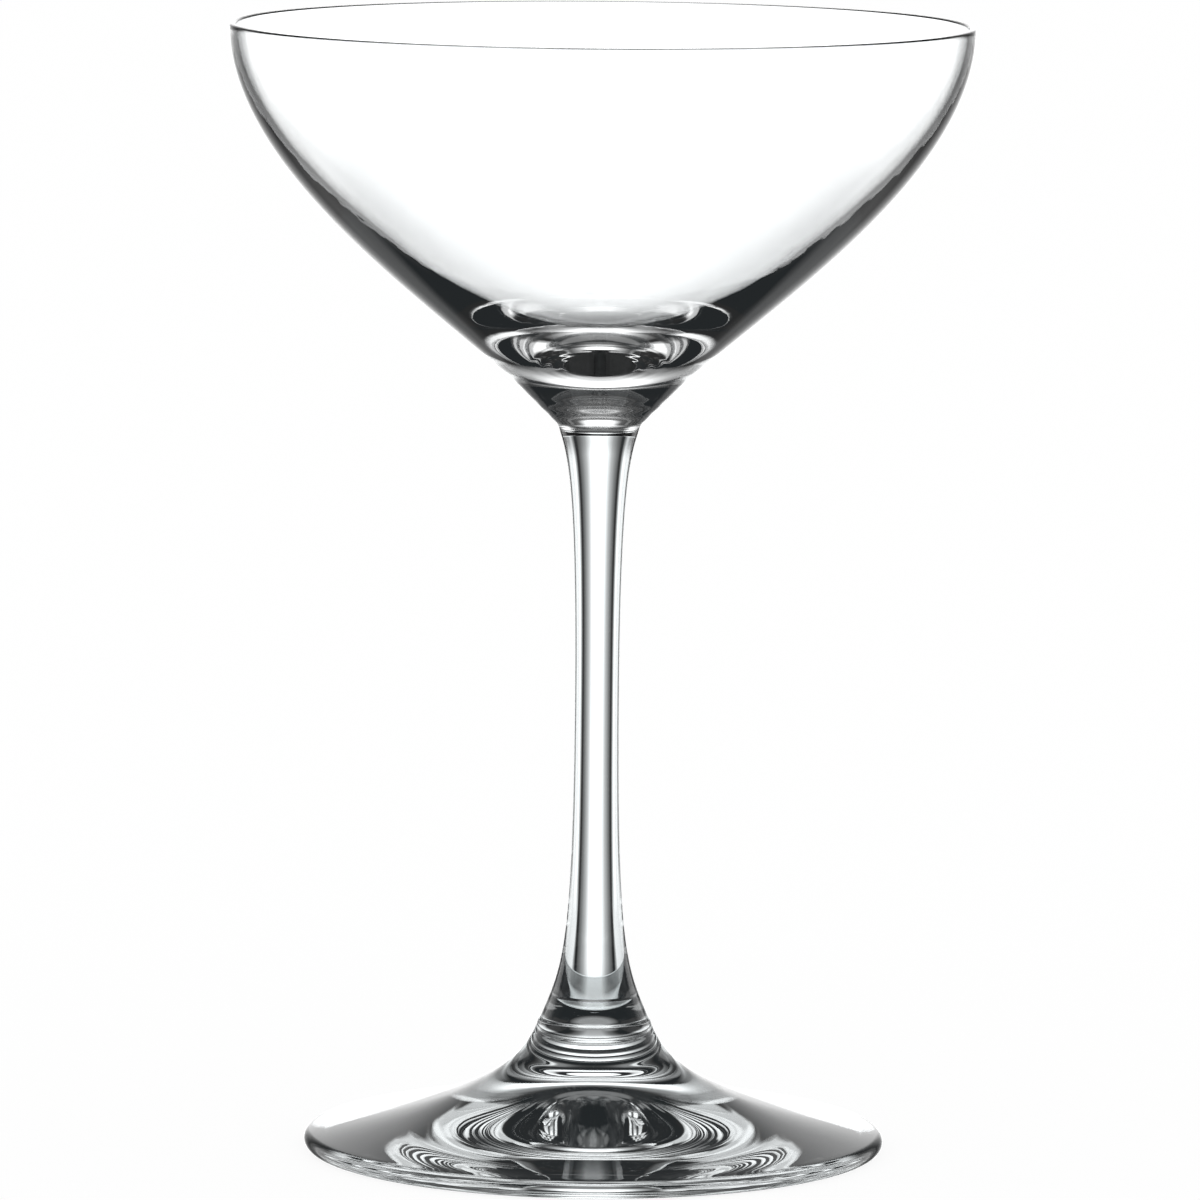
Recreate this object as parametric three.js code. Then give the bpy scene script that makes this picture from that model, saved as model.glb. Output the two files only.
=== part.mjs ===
// Champagne coupe in clear crystal: a blown bowl, a drawn stem and a spun foot, fused end to end.
// Millimetres, +Z up. The origin is on the table, at the centre of the foot.

import * as THREE from "three";

// Whole glass
const overallHeight = 160;
const rimDiameter = 104.9;
const footDiameter = 82.4;

// Joints: the flat faces where the three pieces are fused
const upperJointHeight = 102.8;
const upperJointDiameter = 11.3;
const upperJointFlare = 16; // degrees off the axis of the outline where it crosses the joint
const lowerJointHeight = 19;
const lowerJointDiameter = 15.2;
const lowerJointFlare = 23;

// Bowl, outside: a neck fillet, a straight flank, then one curve that stands upright at the rim
const neckFillet = 2.6;
const flankAngle = 45.5; // degrees off the axis
const flankLength = 6;
const flankPull = 14.8; // how far the flank's direction carries into the curve above it
const shoulderPull = 21.4; // how far the wall stays upright below the rim

// Bowl, inside
const rimWall = 1;
const lipRise = 0.35; // height of the rounded lip
const wellWall = 2.5; // wall at the top of the well
const wellAt = 0.5; // top of the well: its place on the outside curve, from 0 at the flank to 1 at the rim
const wallGrowth = 1.4; // how late the wall thickens on its way down, where 1 is evenly
const baseThickness = 10.8; // from the joint up to the bottom of the well
const wellPull = 0.62; // roundness of the well: the share of its tangents that the curve follows

// Stem
const waistDiameter = 6.26;
const waistHeight = 65;
const upperFlarePull = 3.6;
const upperWaistPull = 31.8;
const lowerWaistPull = 36.6;
const lowerFlarePull = 7.6;

// Foot
const beadHeight = 1.6; // rounded ring that the fused joint leaves round the top of the foot
const beadProud = 0.15;
const footFlare = 36; // degrees off the axis, just under the bead
const footFlarePull = 2.4;
const brimSlope = 10; // degrees off the table, where the top meets the rounded edge
const brimPull = 30.5;
const edgeThickness = 2.6;
const restingRingWidth = 2;
const underDomeRise = 1.5;
const kickRise = 3; // how much further the underside rises below the stem
const kickRadius = 11;

// Facets round the axis, and along each curve
const aroundSteps = 48;
const longCurveSteps = 14;
const shortCurveSteps = 6;

const point = (radius, height) => new THREE.Vector2(radius, height);

// A direction in the profile plane that leans this many degrees from straight up towards the outside
const lean = (degrees) => {
  const angle = THREE.MathUtils.degToRad(degrees);
  return point(Math.sin(angle), Math.cos(angle));
};

const along = (start, direction, distance) => start.clone().addScaledVector(direction, distance);

const bezier = (start, startHandle, endHandle, end) =>
  new THREE.CubicBezierCurve(start, startHandle, endHandle, end);

// One outline from its stretches, each a list of points or a single corner, with shared ends kept once
function profile(...stretches) {
  const points = [];
  for (const stretch of stretches) {
    const next = stretch instanceof THREE.Vector2 ? [stretch] : stretch;
    for (const p of next) {
      if (!points.length || points.at(-1).distanceTo(p) > 1e-6) points.push(p);
    }
  }
  return points;
}

const crystal = (roughness) =>
  new THREE.MeshStandardMaterial({ color: 0xf2f6f6, roughness, metalness: 0, transparent: true, opacity: 0.35 });

// A turned piece from its closed profile, which starts and ends on the axis
function turned(name, points, roughness) {
  const geometry = new THREE.LatheGeometry(points, aroundSteps);
  geometry.rotateX(Math.PI / 2);
  const mesh = new THREE.Mesh(geometry, crystal(roughness));
  mesh.name = name;
  return mesh;
}

// Bowl: thin at the rim and thickening down to a solid base over the joint
function makeBowl() {
  const jointEdge = point(upperJointDiameter / 2, upperJointHeight);
  const jointLean = lean(upperJointFlare);
  const flankLean = lean(flankAngle);
  const filletCentre = along(jointEdge, point(jointLean.y, -jointLean.x), neckFillet);
  const filletTurn = THREE.MathUtils.degToRad(flankAngle - upperJointFlare);
  const filletStart = jointEdge.clone().sub(filletCentre);
  const fillet = [];
  for (let i = 0; i <= shortCurveSteps; i++) {
    const spoke = filletStart.clone().rotateAround(point(0, 0), (-filletTurn * i) / shortCurveSteps);
    fillet.push(filletCentre.clone().add(spoke));
  }
  const flankTop = along(fillet.at(-1), flankLean, flankLength);

  const rimRadius = rimDiameter / 2;
  const rimOutside = point(rimRadius, overallHeight - lipRise);
  const outside = bezier(
    flankTop,
    along(flankTop, flankLean, flankPull),
    along(rimOutside, point(0, -1), shoulderPull),
    rimOutside,
  );

  const lip = [];
  for (let i = 1; i < shortCurveSteps; i++) {
    const angle = (Math.PI * i) / shortCurveSteps;
    lip.push(point(rimRadius - (rimWall / 2) * (1 - Math.cos(angle)), rimOutside.y + lipRise * Math.sin(angle)));
  }

  // The wall thickens on its way down from the rim, and the inside then rounds into the well
  const insideAt = (place) => {
    const rise = outside.getTangent(place);
    const wall = rimWall + (wellWall - rimWall) * ((1 - place) / (1 - wellAt)) ** wallGrowth;
    return along(outside.getPoint(place), point(-rise.y, rise.x), wall);
  };
  const insideWall = [];
  for (let i = 0; i <= longCurveSteps; i++) {
    insideWall.push(insideAt(1 - ((1 - wellAt) * i) / longCurveSteps));
  }
  const wellTop = insideWall.at(-1);
  const wellLean = insideAt(wellAt + 0.001).sub(wellTop).normalize();
  const wellBottom = point(0, upperJointHeight + baseThickness);
  const wellCorner = along(wellTop, wellLean, (wellBottom.y - wellTop.y) / wellLean.y);
  const well = bezier(
    wellTop,
    wellTop.clone().lerp(wellCorner, wellPull),
    wellBottom.clone().lerp(wellCorner, wellPull),
    wellBottom,
  );

  return turned(
    "bowl",
    profile(
      point(0, upperJointHeight),
      fillet,
      outside.getPoints(longCurveSteps),
      lip,
      insideWall,
      well.getPoints(longCurveSteps),
    ),
    0.02,
  );
}

// Stem: solid, drawn in to a waist, with both ends flared to meet their joints
function makeStem() {
  const top = point(upperJointDiameter / 2, upperJointHeight);
  const waist = point(waistDiameter / 2, waistHeight);
  const bottom = point(lowerJointDiameter / 2, lowerJointHeight);
  const lowerFlare = bezier(
    bottom,
    along(bottom, lean(-lowerJointFlare), lowerFlarePull),
    along(waist, lean(180), lowerWaistPull),
    waist,
  );
  const upperFlare = bezier(
    waist,
    along(waist, lean(0), upperWaistPull),
    along(top, lean(upperJointFlare), -upperFlarePull),
    top,
  );
  return turned(
    "stem",
    profile(
      point(0, lowerJointHeight),
      lowerFlare.getPoints(longCurveSteps),
      upperFlare.getPoints(longCurveSteps),
      point(0, upperJointHeight),
    ),
    0.02,
  );
}

// Foot: a bead at the joint, a swept top, a rounded edge and a hollow underside on a narrow resting ring
function makeFoot() {
  const jointEdge = point(lowerJointDiameter / 2, lowerJointHeight);
  const beadFoot = along(jointEdge, lean(-lowerJointFlare), -beadHeight);
  const beadSwell = point(jointEdge.y - beadFoot.y, beadFoot.x - jointEdge.x).normalize();
  const bead = [];
  for (let i = 0; i <= shortCurveSteps; i++) {
    const share = i / shortCurveSteps;
    const swell = beadProud * Math.sin(Math.PI * share) ** 2;
    bead.push(along(beadFoot.clone().lerp(jointEdge, share), beadSwell, swell));
  }

  const edgeRadius = edgeThickness / 2;
  const edgeCentre = point(footDiameter / 2 - edgeRadius, edgeRadius);
  const edgeTop = along(edgeCentre, lean(brimSlope), edgeRadius);
  const top = bezier(
    edgeTop,
    along(edgeTop, lean(brimSlope - 90), brimPull),
    along(beadFoot, lean(-footFlare), -footFlarePull),
    beadFoot,
  );

  const edge = [];
  const edgeEnd = Math.PI / 2 - THREE.MathUtils.degToRad(brimSlope);
  for (let i = 0; i < shortCurveSteps; i++) {
    const angle = THREE.MathUtils.lerp(-Math.PI / 2, edgeEnd, i / shortCurveSteps);
    edge.push(along(edgeCentre, point(Math.cos(angle), Math.sin(angle)), edgeRadius));
  }

  // Underside: a shallow dome that kicks up below the stem and comes down to the resting ring
  const ringInside = edgeCentre.x - restingRingWidth;
  const kickAt = (radius) => kickRise * Math.exp(-((radius / kickRadius) ** 2));
  const underside = [];
  for (let i = 0; i < longCurveSteps; i++) {
    const share = i / longCurveSteps;
    const radius = ringInside * share;
    underside.push(point(radius, underDomeRise * (1 - share ** 2) + kickAt(radius) - kickAt(ringInside) * share));
  }
  underside.push(point(ringInside, 0));

  return turned(
    "foot",
    profile(
      underside,
      edge,
      top.getPoints(longCurveSteps),
      bead,
      point(0, lowerJointHeight),
    ),
    0.03,
  );
}

const coupe = new THREE.Group();
coupe.name = "champagne_coupe";
coupe.add(makeBowl(), makeStem(), makeFoot());

export default coupe;
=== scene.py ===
import math

import bmesh
import bpy
from mathutils import Matrix, Vector


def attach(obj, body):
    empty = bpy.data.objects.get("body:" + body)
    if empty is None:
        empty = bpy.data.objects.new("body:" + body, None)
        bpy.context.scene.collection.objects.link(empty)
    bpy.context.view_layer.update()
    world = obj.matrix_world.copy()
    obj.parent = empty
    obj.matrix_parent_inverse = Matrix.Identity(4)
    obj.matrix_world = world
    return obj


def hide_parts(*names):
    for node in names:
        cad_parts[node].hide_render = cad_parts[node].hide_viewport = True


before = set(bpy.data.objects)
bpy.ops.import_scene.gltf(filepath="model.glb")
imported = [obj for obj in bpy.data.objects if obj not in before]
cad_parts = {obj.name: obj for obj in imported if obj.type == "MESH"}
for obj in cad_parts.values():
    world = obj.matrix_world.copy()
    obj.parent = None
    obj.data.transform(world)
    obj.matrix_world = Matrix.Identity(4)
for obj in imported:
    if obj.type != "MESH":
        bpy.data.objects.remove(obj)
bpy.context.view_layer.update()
scene = bpy.context.scene
scene.view_settings.view_transform = "Standard"
millimetre = 0.001
hair = 1e-5  # millimetres: points closer than this count as one


# Profiles are lists of (radius, height) in millimetres

# A direction that leans this many degrees from straight up towards the outside
def lean(degrees):
    angle = math.radians(degrees)
    return Vector((math.sin(angle), math.cos(angle)))


def onCurve(handles, t):
    a, b, c, d = handles
    s = 1 - t
    return s**3 * a + 3 * s * s * t * b + 3 * s * t * t * c + t**3 * d


def alongCurve(handles, t):
    a, b, c, d = handles
    s = 1 - t
    return (s * s * (b - a) + 2 * s * t * (c - b) + t * t * (d - c)).normalized()


def curve(start, startHandle, endHandle, end, steps):
    return [onCurve((start, startHandle, endHandle, end), i / steps) for i in range(steps + 1)]


def straight(start, end, steps):
    return [start.lerp(end, i / steps) for i in range(steps + 1)]


def joined(*stretches):
    points = []
    for stretch in stretches:
        for p in stretch:
            if not points or (points[-1] - p).length > hair:
                points.append(Vector(p))
    return points


# Joins two stretches whose shared corner is rounded over the given reach
def softJoined(before, after, reach, steps):
    corner = after[0]
    before = [p for p in before if (p - corner).length > reach]
    after = [p for p in after if (p - corner).length > reach]
    start, end = before[-1], after[0]
    rounding = curve(start, start.lerp(corner, 2 / 3), end.lerp(corner, 2 / 3), end, steps)
    return joined(before, rounding, after)


# A closed turned mesh. A flat disc at the clear height, if there is one, takes the second material.
def turnedPiece(name, profile, around, clearHeight):
    mesh = bpy.data.meshes.new(name)
    bm = bmesh.new()
    rings = []
    for p in profile:
        radius = p.x * millimetre
        height = p.y * millimetre
        if p.x < hair:
            rings.append([bm.verts.new((0, 0, height))])
            continue
        ring = []
        for k in range(around):
            angle = 2 * math.pi * k / around
            ring.append(bm.verts.new((radius * math.cos(angle), radius * math.sin(angle), height)))
        rings.append(ring)
    for i in range(len(rings) - 1):
        lower, upper = rings[i], rings[i + 1]
        ends = (profile[i].y, profile[i + 1].y)
        isClear = clearHeight is not None and all(abs(y - clearHeight) < hair for y in ends)
        for k in range(around):
            n = (k + 1) % around
            corners = [lower[k % len(lower)], lower[n % len(lower)]]
            corners += [upper[n % len(upper)], upper[k % len(upper)]]
            face = bm.faces.new(list(dict.fromkeys(corners)))  # on the axis two of the corners are one
            face.smooth = True
            face.material_index = 1 if isClear else 0
    bmesh.ops.recalc_face_normals(bm, faces=bm.faces)
    for edge in bm.edges:
        if len({f.material_index for f in edge.link_faces}) > 1:
            edge.smooth = False
    bm.to_mesh(mesh)
    bm.free()
    piece = bpy.data.objects.new(name, mesh)
    scene.collection.objects.link(piece)
    print("turned", name, "with", len(mesh.polygons), "faces")
    return piece


# Joints between the pieces. The flares are degrees off the axis of the outline where it crosses a joint.

joints = {
    "upperHeight": 102.8,
    "upperDiameter": 11.3,
    "upperFlare": 16,
    "lowerHeight": 19,
    "lowerDiameter": 15.2,
    "lowerFlare": 23,
}


# Bowl

bowl = {
    "overallHeight": 160,
    "rimDiameter": 104.9,
    "neckFillet": 2.6,
    "neckRings": 3,
    "ringHeight": 0.025,
    "flankAngle": 45.5,
    "flankLength": 6,
    "flankPull": 14.8,
    "shoulderPull": 21.4,
    "rimWall": 1.0,
    "lipRise": 0.35,
    "wellWall": 2.5,
    "wellAt": 0.5,  # top of the well, from 0 at the flank to 1 at the rim
    "wallGrowth": 1.4,
    "baseThickness": 10.8,
    "wellPull": 0.62,
    "steps": {"fillet": 24, "flank": 40, "outside": 100, "lip": 16, "wall": 80, "well": 70},
    "around": 288,
    "tint": (0.98, 0.99, 0.993),
    "striae": {"across": 160, "along": 90, "depth": 0.01},
}


def bowlProfile():
    b = bowl
    steps = b["steps"]
    jointEdge = Vector((joints["upperDiameter"] / 2, joints["upperHeight"]))
    jointLean = lean(joints["upperFlare"])
    flankLean = lean(b["flankAngle"])
    filletCentre = jointEdge + Vector((jointLean.y, -jointLean.x)) * b["neckFillet"]
    filletTurn = math.radians(b["flankAngle"] - joints["upperFlare"])
    spoke = jointEdge - filletCentre
    fillet = []
    for i in range(steps["fillet"] + 1):
        turn = Matrix.Rotation(-filletTurn * i / steps["fillet"], 2)
        fillet.append(filletCentre + turn @ spoke)
    flankTop = fillet[-1] + flankLean * b["flankLength"]
    neck = joined(fillet, straight(fillet[-1], flankTop, steps["flank"]))
    for p in neck:  # faint rings left by the tools that drew the neck in
        up = (p.y - jointEdge.y) / (flankTop.y - jointEdge.y)
        p.x -= b["ringHeight"] * math.sin(2 * math.pi * b["neckRings"] * up) * math.sin(math.pi * up)

    rimRadius = b["rimDiameter"] / 2
    rimOutside = Vector((rimRadius, b["overallHeight"] - b["lipRise"]))
    outside = (
        flankTop,
        flankTop + flankLean * b["flankPull"],
        rimOutside - Vector((0, b["shoulderPull"])),
        rimOutside,
    )
    lip = []
    for i in range(1, steps["lip"]):
        angle = math.pi * i / steps["lip"]
        inward = b["rimWall"] * (1 - math.cos(angle)) / 2
        lip.append(Vector((rimRadius - inward, rimOutside.y + b["lipRise"] * math.sin(angle))))

    # the wall thickens on its way down from the rim, and the inside then rounds into the well
    def insideAt(t):
        rise = alongCurve(outside, t)
        growth = ((1 - t) / (1 - b["wellAt"])) ** b["wallGrowth"]
        wall = b["rimWall"] + (b["wellWall"] - b["rimWall"]) * growth
        return onCurve(outside, t) + Vector((-rise.y, rise.x)) * wall

    insideWall = []
    for i in range(steps["wall"] + 1):
        insideWall.append(insideAt(1 - (1 - b["wellAt"]) * i / steps["wall"]))
    wellTop = insideWall[-1]
    nudge = 0.001  # up the curve, for the direction in which the well starts
    wellLean = (insideAt(b["wellAt"] + nudge) - wellTop).normalized()
    wellBottom = Vector((0, joints["upperHeight"] + b["baseThickness"]))
    wellCorner = wellTop + wellLean * (wellBottom.y - wellTop.y) / wellLean.y
    well = curve(
        wellTop,
        wellTop.lerp(wellCorner, b["wellPull"]),
        wellBottom.lerp(wellCorner, b["wellPull"]),
        wellBottom,
        steps["well"],
    )
    middle = Vector((0, joints["upperHeight"]))
    return joined([middle], neck, curve(*outside, steps["outside"]), lip, insideWall, well)


# Stem

stem = {
    "waistDiameter": 6.26,
    "waistHeight": 65,
    "upperFlarePull": 3.6,
    "upperWaistPull": 31.8,
    "lowerWaistPull": 36.6,
    "lowerFlarePull": 7.6,
    "steps": 90,
    "around": 192,
    "tint": (0.95, 0.982, 0.99),
    "striae": {"across": 700, "along": 40, "depth": 0.004},
}


def stemProfile():
    s = stem
    top = Vector((joints["upperDiameter"] / 2, joints["upperHeight"]))
    waist = Vector((s["waistDiameter"] / 2, s["waistHeight"]))
    bottom = Vector((joints["lowerDiameter"] / 2, joints["lowerHeight"]))
    lowerFlare = curve(
        bottom,
        bottom + lean(-joints["lowerFlare"]) * s["lowerFlarePull"],
        waist - Vector((0, s["lowerWaistPull"])),
        waist,
        s["steps"],
    )
    upperFlare = curve(
        waist,
        waist + Vector((0, s["upperWaistPull"])),
        top - lean(joints["upperFlare"]) * s["upperFlarePull"],
        top,
        s["steps"],
    )
    return joined([Vector((0, bottom.y))], lowerFlare, upperFlare, [Vector((0, top.y))])


# Foot

foot = {
    "diameter": 82.4,
    "beadHeight": 1.6,
    "beadProud": 0.15,
    "beadSoftness": 0.9,
    "flare": 36,
    "flarePull": 2.4,
    "brimSlope": 10,
    "brimPull": 30.5,
    "edgeThickness": 2.6,
    "restingRingWidth": 2,
    "underDomeRise": 1.5,
    "kickRise": 3,
    "kickRadius": 11,
    "steps": {"bead": 40, "corner": 24, "edge": 24, "top": 110, "underside": 160},
    "around": 288,
    "tint": (0.95, 0.982, 0.99),
    "striae": {"across": 140, "along": 140, "depth": 0.008},
}


def footProfile():
    f = foot
    steps = f["steps"]
    jointEdge = Vector((joints["lowerDiameter"] / 2, joints["lowerHeight"]))
    beadFoot = jointEdge - lean(-joints["lowerFlare"]) * f["beadHeight"]
    swell = Vector((jointEdge.y - beadFoot.y, beadFoot.x - jointEdge.x)).normalized() * f["beadProud"]
    bead = []
    for i in range(steps["bead"] + 1):
        share = i / steps["bead"]
        bead.append(beadFoot.lerp(jointEdge, share) + swell * math.sin(math.pi * share) ** 2)

    edgeRadius = f["edgeThickness"] / 2
    edgeCentre = Vector((f["diameter"] / 2 - edgeRadius, edgeRadius))
    edgeTop = edgeCentre + lean(f["brimSlope"]) * edgeRadius
    edge = []
    for i in range(steps["edge"]):
        angle = -math.pi / 2 + (math.pi - math.radians(f["brimSlope"])) * i / steps["edge"]
        edge.append(edgeCentre + Vector((math.cos(angle), math.sin(angle))) * edgeRadius)
    top = curve(
        edgeTop,
        edgeTop + lean(f["brimSlope"] - 90) * f["brimPull"],
        beadFoot - lean(-f["flare"]) * f["flarePull"],
        beadFoot,
        steps["top"],
    )

    # underside: a shallow dome that kicks up below the stem and comes down to the resting ring
    ringInside = edgeCentre.x - f["restingRingWidth"]

    def kickAt(radius):
        return f["kickRise"] * math.exp(-((radius / f["kickRadius"]) ** 2))

    underside = []
    for i in range(steps["underside"]):
        share = i / steps["underside"]
        radius = ringInside * share
        height = f["underDomeRise"] * (1 - share**2) + kickAt(radius) - kickAt(ringInside) * share
        underside.append(Vector((radius, height)))
    underside.append(Vector((ringInside, 0)))
    skin = softJoined(joined(edge, top), bead, f["beadSoftness"], steps["corner"])
    return joined(underside, skin, [Vector((0, jointEdge.y))])


# Node helpers

def feed(tree, socket, value):
    if isinstance(value, (int, float)):
        socket.default_value = value
    else:
        tree.links.new(value, socket)


def mathNode(tree, operation, *values):
    node = tree.nodes.new("ShaderNodeMath")
    node.operation = operation
    for socket, value in zip(node.inputs, values):
        feed(tree, socket, value)
    return node.outputs["Value"]


def chained(tree, operation, values):
    result = values[0]
    for value in values[1:]:
        result = mathNode(tree, operation, result, value)
    return result


def product(tree, *values):
    return chained(tree, "MULTIPLY", values)


def most(tree, *values):
    return chained(tree, "MAXIMUM", values)


def mixed(tree, factor, a, b):
    node = tree.nodes.new("ShaderNodeMix")
    for name, value in (("Factor", factor), ("A", a), ("B", b)):
        feed(tree, node.inputs[name], value)
    return node.outputs["Result"]


# Goes from one level to the other while the value goes from the first edge to the second
def between(tree, value, first, second, fromLevel=0.0, toLevel=1.0):
    node = tree.nodes.new("ShaderNodeMapRange")
    node.inputs["From Min"].default_value = first
    node.inputs["From Max"].default_value = second
    node.inputs["To Min"].default_value = fromLevel
    node.inputs["To Max"].default_value = toLevel
    tree.links.new(value, node.inputs["Value"])
    return node.outputs["Result"]


# Comes up from 0 to 1 over the first two of four edges, and goes down again over the last two
def band(tree, value, edges):
    return product(tree, between(tree, value, *edges[:2]), between(tree, value, *edges[2:], 1, 0))


# Follows a list of (value, level)
def ramped(tree, value, stops):
    low, high = stops[0][0], stops[-1][0]
    ramp = tree.nodes.new("ShaderNodeValToRGB")
    tree.links.new(between(tree, value, low, high), ramp.inputs["Fac"])
    elements = ramp.color_ramp.elements
    elements.remove(elements[1])
    for i, (at, level) in enumerate(stops):
        stop = elements[0] if i == 0 else elements.new((at - low) / (high - low))
        stop.color = (level, level, level, 1)
    return ramp.outputs["Color"]


def axesOf(tree, coordinates):
    coords = tree.nodes.new("ShaderNodeTexCoord")
    axes = tree.nodes.new("ShaderNodeSeparateXYZ")
    tree.links.new(coords.outputs[coordinates], axes.inputs["Vector"])
    return axes.outputs


# Shared effects

# Striae: the slight waviness of hot-worked glass, drawn out along the axis
def striaeGroup():
    tree = bpy.data.node_groups.new("striae", "ShaderNodeTree")
    for name, inOut in (("Across", "INPUT"), ("Along", "INPUT"), ("Height", "OUTPUT"), ("Cloud", "OUTPUT")):
        tree.interface.new_socket(name, in_out=inOut, socket_type="NodeSocketFloat")
    given = tree.nodes.new("NodeGroupInput")
    made = tree.nodes.new("NodeGroupOutput")
    axes = axesOf(tree, "Object")
    place = tree.nodes.new("ShaderNodeCombineXYZ")
    for axis, rate in (("X", "Across"), ("Y", "Across"), ("Z", "Along")):
        tree.links.new(product(tree, axes[axis], given.outputs[rate]), place.inputs[axis])
    for name, scale, detail in (("Height", 1, 2), ("Cloud", 0.3, 0)):
        noise = tree.nodes.new("ShaderNodeTexNoise")
        noise.inputs["Scale"].default_value = scale
        noise.inputs["Detail"].default_value = detail
        tree.links.new(place.outputs["Vector"], noise.inputs["Vector"])
        tree.links.new(noise.outputs["Fac"], made.inputs[name])
    return tree


tableWear = {
    "scuffScale": 2500,
    "reach": (0.12, 0.02),  # millimetres above the table where the wear starts and is full
    "scuffs": (0.35, 0.65),
    "roughness": (0.01, 0.07),
}


# Table wear: fine scuffs on whatever touches the table
def tableWearGroup():
    tree = bpy.data.node_groups.new("tableWear", "ShaderNodeTree")
    tree.interface.new_socket("Roughness", in_out="OUTPUT", socket_type="NodeSocketFloat")
    made = tree.nodes.new("NodeGroupOutput")
    coords = tree.nodes.new("ShaderNodeTexCoord")
    noise = tree.nodes.new("ShaderNodeTexNoise")
    noise.inputs["Scale"].default_value = tableWear["scuffScale"]
    tree.links.new(coords.outputs["Object"], noise.inputs["Vector"])
    contact = between(tree, axesOf(tree, "Object")["Z"], *[h * millimetre for h in tableWear["reach"]])
    scuffs = between(tree, noise.outputs["Fac"], *tableWear["scuffs"], *tableWear["roughness"])
    tree.links.new(product(tree, contact, scuffs), made.inputs["Roughness"])
    return tree


# Materials

glass = {
    "ior": 1.52,
    "tintDrift": 1.4,  # power of the tint where the melt is deepest in colour
}


def newMaterial(name):
    material = bpy.data.materials.new(name)
    material.use_nodes = True
    tree = material.node_tree
    tree.nodes.clear()
    out = tree.nodes.new("ShaderNodeOutputMaterial")
    return material, tree, out


striaeNodes = striaeGroup()
tableWearNodes = tableWearGroup()


def crystal(name, settings):
    material, tree, out = newMaterial(name)
    link = tree.links.new
    shader = tree.nodes.new("ShaderNodeBsdfPrincipled")
    shader.inputs["Roughness"].default_value = 0
    shader.inputs["IOR"].default_value = glass["ior"]
    shader.inputs["Transmission Weight"].default_value = 1
    waves = tree.nodes.new("ShaderNodeGroup")
    waves.node_tree = striaeNodes
    waves.inputs["Across"].default_value = settings["striae"]["across"]
    waves.inputs["Along"].default_value = settings["striae"]["along"]
    bump = tree.nodes.new("ShaderNodeBump")
    bump.inputs["Strength"].default_value = 1
    bump.inputs["Distance"].default_value = settings["striae"]["depth"] * millimetre
    link(waves.outputs["Height"], bump.inputs["Height"])
    link(bump.outputs["Normal"], shader.inputs["Normal"])
    tint = tree.nodes.new("ShaderNodeMix")  # the tint drifts a little through the melt
    tint.data_type = "RGBA"
    tint.inputs["A"].default_value = (*settings["tint"], 1)
    tint.inputs["B"].default_value = (*[c ** glass["tintDrift"] for c in settings["tint"]], 1)
    link(waves.outputs["Cloud"], tint.inputs["Factor"])
    link(tint.outputs["Result"], shader.inputs["Base Color"])
    if settings is foot:
        wear = tree.nodes.new("ShaderNodeGroup")
        wear.node_tree = tableWearNodes
        link(wear.outputs["Roughness"], shader.inputs["Roughness"])
    link(shader.outputs["BSDF"], out.inputs["Surface"])
    print("material", name)
    return material


# Stem and foot are one body of glass at the lower joint, so light passes its faces unbent. The upper joint
# keeps its faces, which show as a dark line under the bowl.
def clearJoint():
    material, tree, out = newMaterial("fusedJoint")
    shader = tree.nodes.new("ShaderNodeBsdfTransparent")
    tree.links.new(shader.outputs["BSDF"], out.inputs["Surface"])
    return material


jointMaterial = clearJoint()
for name, profile, settings, clearHeight in (
    ("bowl", bowlProfile(), bowl, None),
    ("stem", stemProfile(), stem, joints["lowerHeight"]),
    ("foot", footProfile(), foot, joints["lowerHeight"]),
):
    piece = turnedPiece(name + "Glass", profile, settings["around"], clearHeight)
    piece.data.materials.append(crystal(name + "Crystal", settings))
    if clearHeight is not None:
        piece.data.materials.append(jointMaterial)
    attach(piece, "root")
    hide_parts(name)


# Studio. The world is lit by direction: degrees to the side of the panel behind the glass, azimuth and
# height in degrees, and how far back. A pair of them is where a level starts and ends its change.

def directions(tree):
    axes = axesOf(tree, "Generated")
    x, y, z = axes["X"], axes["Y"], axes["Z"]
    return {
        "aside": mathNode(tree, "DEGREES", mathNode(tree, "ARCSINE", mathNode(tree, "ABSOLUTE", x))),
        "azimuth": mathNode(tree, "DEGREES", mathNode(tree, "ARCTAN2", x, y)),
        "height": mathNode(tree, "DEGREES", mathNode(tree, "ARCSINE", z)),
        "back": y,
    }


panel = {
    "aside": [
        (0, 1), (8, 1), (10, 0.8), (12, 0.62), (15.6, 0.36), (19, 0.25), (22, 0.155), (26, 0.075),
        (28, 0.015), (31, 0.015), (34.8, 0.36), (36, 0.52), (37.5, 0.8), (58, 0.8), (62, 0.45),
        (66, 0.05), (70, 0.015), (90, 0.015),
    ],
    "heights": [
        (-90, 0.25), (-75, 0.26), (-60, 0.3), (-46, 0.36), (-40, 0.5), (-30, 0.78), (-24, 0.87), (-20, 0.93),
        (-15, 1), (8, 1), (10, 0.9), (13, 0.75), (15, 0.66), (17, 0.58), (20, 0.5), (23, 0.38), (25, 0.26),
        (28, 0.1), (32, 0.03), (90, 0.02),
    ],
    "narrows": (-8, -50),
    "narrowBy": 1.5,
    "lowFlags": {"aside": (20, 31), "height": (-33, -42), "level": 0.1},
    "edge": (0, 0.09),
    "spill": 0.015,
}


# Behind the glass: a white panel that narrows downwards, dark flags on both sides of it, then side lights
def panelLight(tree, way):
    height = way["height"]
    low = panel["lowFlags"]
    aside = product(tree, way["aside"], between(tree, height, *panel["narrows"], 1, panel["narrowBy"]))
    lowLevel = between(tree, height, *low["height"], 1, low["level"])
    return product(
        tree,
        ramped(tree, aside, panel["aside"]),
        ramped(tree, height, panel["heights"]),
        mixed(tree, between(tree, aside, *low["aside"]), 1.0, lowLevel),
        between(tree, way["back"], *panel["edge"], panel["spill"], 1),
    )


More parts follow.
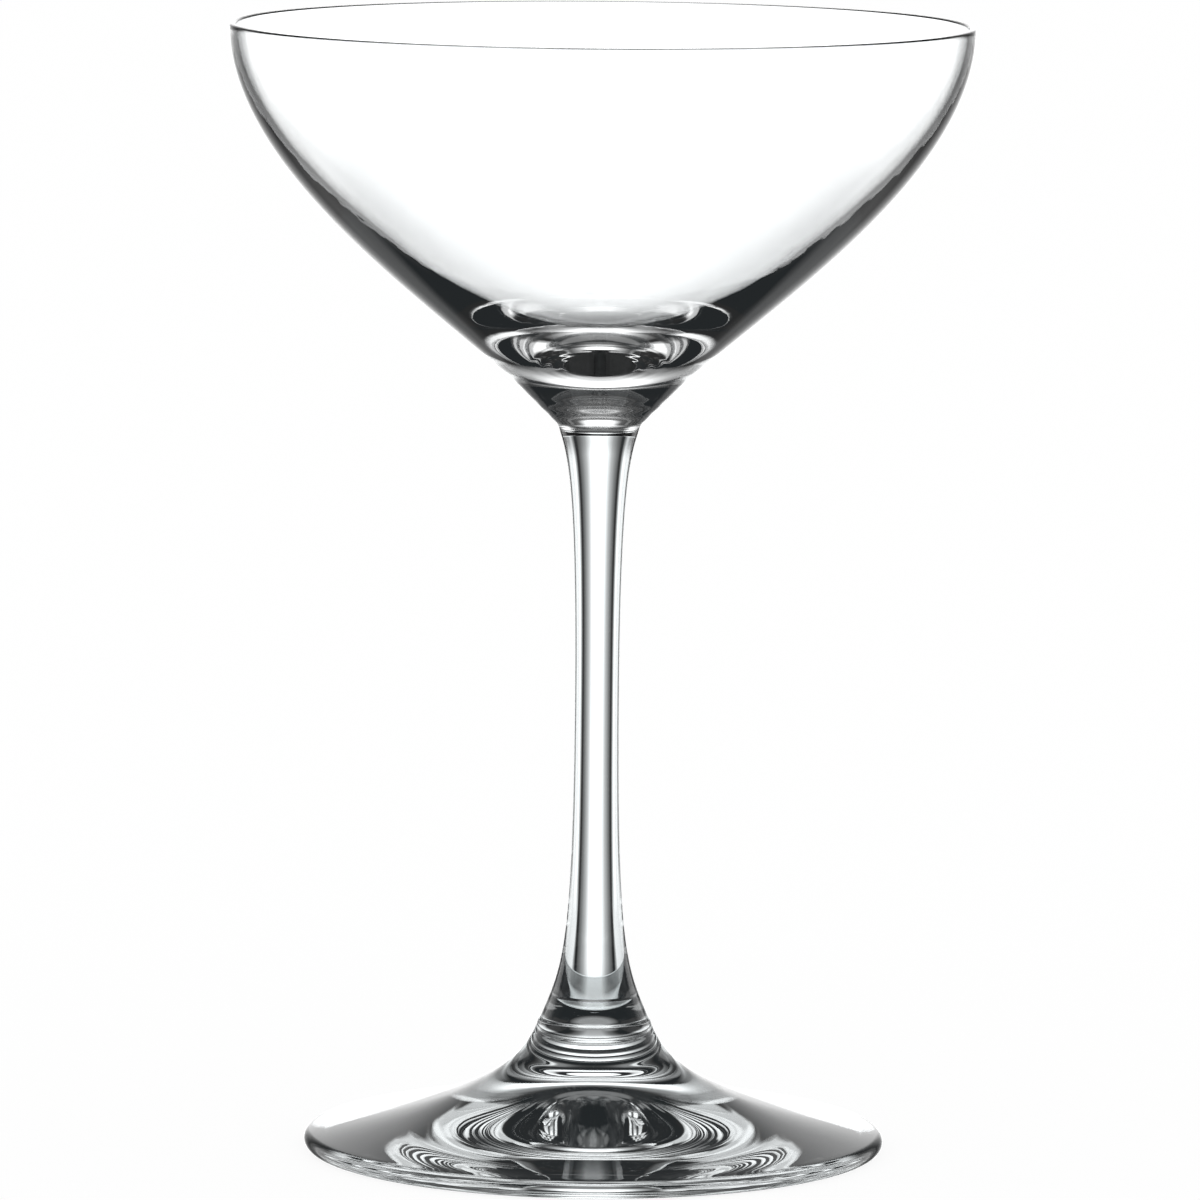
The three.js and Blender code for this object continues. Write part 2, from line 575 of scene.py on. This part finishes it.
otherSides = {
    "flags": [(0, 0.66), (14, 0.66), (17, 0.3), (19, 0.04), (22.5, 0.03)],
    "low": {"height": (-12, -25), "level": 0.66},
    "high": {"height": (11, 26), "level": 0.03},
}


# On the other sides: narrow flags, so that the glass has dark edges from there too
def sideLight(tree, way):
    low, high = otherSides["low"], otherSides["high"]
    flagAt = otherSides["flags"][-1][0]
    flags = ramped(tree, mathNode(tree, "PINGPONG", way["azimuth"], flagAt), otherSides["flags"])
    flags = most(tree, flags, between(tree, way["height"], *low["height"], 0, low["level"]))
    return product(tree, flags, between(tree, way["height"], *high["height"], 1, high["level"]))


straightView = {
    "panelHalf": (45, 70),  # degrees of azimuth that see the panel, level and towards the floor
    "panelOpens": (-28, -42),
    "tableLevel": 0.62,
    "table": (-60, -68),
    "sideTable": {"aside": (29, 31), "height": (-38, -32, -17, -13)},
    "nearTable": {"aside": (13, 18), "height": (-36, -42), "share": 0.25},
}


# Straight through the glass: the panel or the other sides, and from above a white table
def straightLight(tree, way, front, sides):
    aside, height = way["aside"], way["height"]
    side, near = straightView["sideTable"], straightView["nearTable"]
    panelHalf = between(tree, height, *straightView["panelOpens"], *straightView["panelHalf"])
    behind = mathNode(tree, "LESS_THAN", mathNode(tree, "ABSOLUTE", way["azimuth"]), panelHalf)
    sideTable = product(tree, between(tree, aside, *side["aside"]), band(tree, height, side["height"]))
    nearTable = product(tree, between(tree, aside, *near["aside"]), between(tree, height, *near["height"]))
    table = most(
        tree,
        sideTable,
        product(tree, nearTable, near["share"]),
        between(tree, height, *straightView["table"]),
    )
    return mixed(tree, table, mixed(tree, behind, sides, front), straightView["tableLevel"])


# Bounces are counted whole, so their limits lie between two counts
bouncing = {
    "bouncesOver": 0.5,
    "ceiling": {"level": 0.35, "height": (10, 17)},
    "dimSides": {"level": 0.28, "height": (-36, -31), "gapAt": 130, "gapHalf": (9, 13), "bouncesUnder": 3.5},
    "overhead": {"level": 0.12, "height": (50, 55, 72, 78), "back": (0.1, 0.2)},
    "below": {"level": 0.2, "height": (-66, -76)},
    "cards": {"level": 0.75, "aside": (34, 38, 61, 65), "height": (-38, -33, 24, 29), "bouncesOver": 2.5},
    "caught": {"level": 0.16, "height": (-32, -45), "bouncesOver": 9.5},
}


# Bounced in the glass: the panel under a lower ceiling, dim other sides, and a little from above and below
def bouncedLight(tree, way, path, front, sides):
    height = way["height"]
    ceiling, dim, over, below = [bouncing[name] for name in ("ceiling", "dimSides", "overhead", "below")]
    aboveCeiling = between(tree, height, *ceiling["height"], 1, ceiling["level"])
    fromGap = mathNode(tree, "SUBTRACT", mathNode(tree, "ABSOLUTE", way["azimuth"]), dim["gapAt"])
    dimSides = product(
        tree,
        sides,
        between(tree, height, *dim["height"], 0, dim["level"]),
        between(tree, mathNode(tree, "ABSOLUTE", fromGap), *dim["gapHalf"]),
        mathNode(tree, "LESS_THAN", path.outputs["Glossy Depth"], dim["bouncesUnder"]),
    )
    overhead = product(
        tree,
        band(tree, height, over["height"]),
        between(tree, way["back"], *over["back"]),
        over["level"],
    )
    return most(
        tree,
        product(tree, front, mixed(tree, path.outputs["Is Transmission Ray"], 1.0, aboveCeiling)),
        dimSides,
        overhead,
        between(tree, height, *below["height"], 0, below["level"]),
    )


# White cards to both sides, for light that has bounced more often
def cardLight(tree, way, path):
    cards = bouncing["cards"]
    return product(
        tree,
        band(tree, way["aside"], cards["aside"]),
        band(tree, way["height"], cards["height"]),
        mathNode(tree, "GREATER_THAN", way["back"], 0),
        mathNode(tree, "GREATER_THAN", path.outputs["Glossy Depth"], cards["bouncesOver"]),
        cards["level"],
    )


def inGlass(tree, path):
    return most(tree, path.outputs["Is Glossy Ray"], path.outputs["Is Transmission Ray"])


studio = {
    "strength": 1.6,
    "dark": (0.018, 0.0205, 0.022),
}


def studioWorld():
    world = bpy.data.worlds.new("studio")
    scene.world = world
    world.use_nodes = True
    tree = world.node_tree
    tree.nodes.clear()
    link = tree.links.new
    out = tree.nodes.new("ShaderNodeOutputWorld")
    path = tree.nodes.new("ShaderNodeLightPath")
    way = directions(tree)
    front = panelLight(tree, way)
    sides = sideLight(tree, way)
    light = mixed(
        tree,
        mathNode(tree, "GREATER_THAN", path.outputs["Glossy Depth"], bouncing["bouncesOver"]),
        straightLight(tree, way, front, sides),
        bouncedLight(tree, way, path, front, sides),
    )
    light = most(tree, product(tree, light, studio["strength"]), cardLight(tree, way, path))

    # light that is caught in the glass for too long comes out dark, or dim from below
    caught = bouncing["caught"]
    isCaught = mathNode(tree, "GREATER_THAN", path.outputs["Glossy Depth"], caught["bouncesOver"])
    light = mixed(tree, isCaught, light, between(tree, way["height"], *caught["height"], 0, caught["level"]))

    # the camera and the floor see plain white
    offCamera = mathNode(tree, "SUBTRACT", 1.0, path.outputs["Is Camera Ray"])
    lifted = tree.nodes.new("ShaderNodeVectorMath")
    lifted.operation = "MAXIMUM"
    lifted.inputs[1].default_value = studio["dark"]
    link(mixed(tree, product(tree, inGlass(tree, path), offCamera), 1.0, light), lifted.inputs[0])
    background = tree.nodes.new("ShaderNodeBackground")
    link(lifted.outputs["Vector"], background.inputs["Color"])
    link(background.outputs["Background"], out.inputs["Surface"])
    print("studio light set")


floor = {
    "reach": 4,  # metres
    "drop": 0.05,  # millimetres below the resting ring, so that the two faces stay apart
    "white": (0.98, 0.98, 0.98, 1),
    "shadowShare": 0.1,
}


# A white floor that keeps the glass's faint shadow. Seen through the glass, it gives way to the studio.
def studioFloor():
    bm = bmesh.new()
    bmesh.ops.create_grid(bm, x_segments=1, y_segments=1, size=floor["reach"])
    mesh = bpy.data.meshes.new("floor")
    bm.to_mesh(mesh)
    bm.free()
    sheet = bpy.data.objects.new("floor", mesh)
    sheet.location.z = -floor["drop"] * millimetre
    scene.collection.objects.link(sheet)
    material, tree, out = newMaterial("paleFloor")
    link = tree.links.new
    diffuse = tree.nodes.new("ShaderNodeBsdfDiffuse")
    diffuse.inputs["Color"].default_value = floor["white"]
    glow = tree.nodes.new("ShaderNodeEmission")
    pale = tree.nodes.new("ShaderNodeMixShader")
    pale.inputs["Fac"].default_value = floor["shadowShare"]
    link(glow.outputs["Emission"], pale.inputs[1])
    link(diffuse.outputs["BSDF"], pale.inputs[2])
    clear = tree.nodes.new("ShaderNodeBsdfTransparent")
    path = tree.nodes.new("ShaderNodeLightPath")
    mix = tree.nodes.new("ShaderNodeMixShader")
    link(inGlass(tree, path), mix.inputs["Fac"])
    link(pale.outputs["Shader"], mix.inputs[1])
    link(clear.outputs["BSDF"], mix.inputs[2])
    link(mix.outputs["Shader"], out.inputs["Surface"])
    mesh.materials.append(material)
    print("floor laid")


studioWorld()
studioFloor()


# Camera, where the photograph's stood

camera = {
    "place": (0.31, -1338.5, 245.8),
    "pitch": 7.125,
    "roll": 0.5,
    "lens": 286.14,
    "sensor": 36,
    "clip": (0.01, 50),  # metres
}


def placeCamera():
    data = bpy.data.cameras.new("camera")
    data.lens = camera["lens"]
    data.sensor_width = camera["sensor"]
    data.clip_start, data.clip_end = camera["clip"]
    rig = bpy.data.objects.new("camera", data)
    rig.matrix_world = (
        Matrix.Translation(Vector(camera["place"]) * millimetre)
        @ Matrix.Rotation(math.radians(90 - camera["pitch"]), 4, "X")
        @ Matrix.Rotation(math.radians(camera["roll"]), 4, "Z")
    )
    scene.collection.objects.link(rig)
    scene.camera = rig
    print("camera placed")


placeCamera()
scene.cycles.max_bounces = 40
scene.cycles.glossy_bounces = 30
scene.cycles.transmission_bounces = 24
scene.cycles.transparent_max_bounces = 32
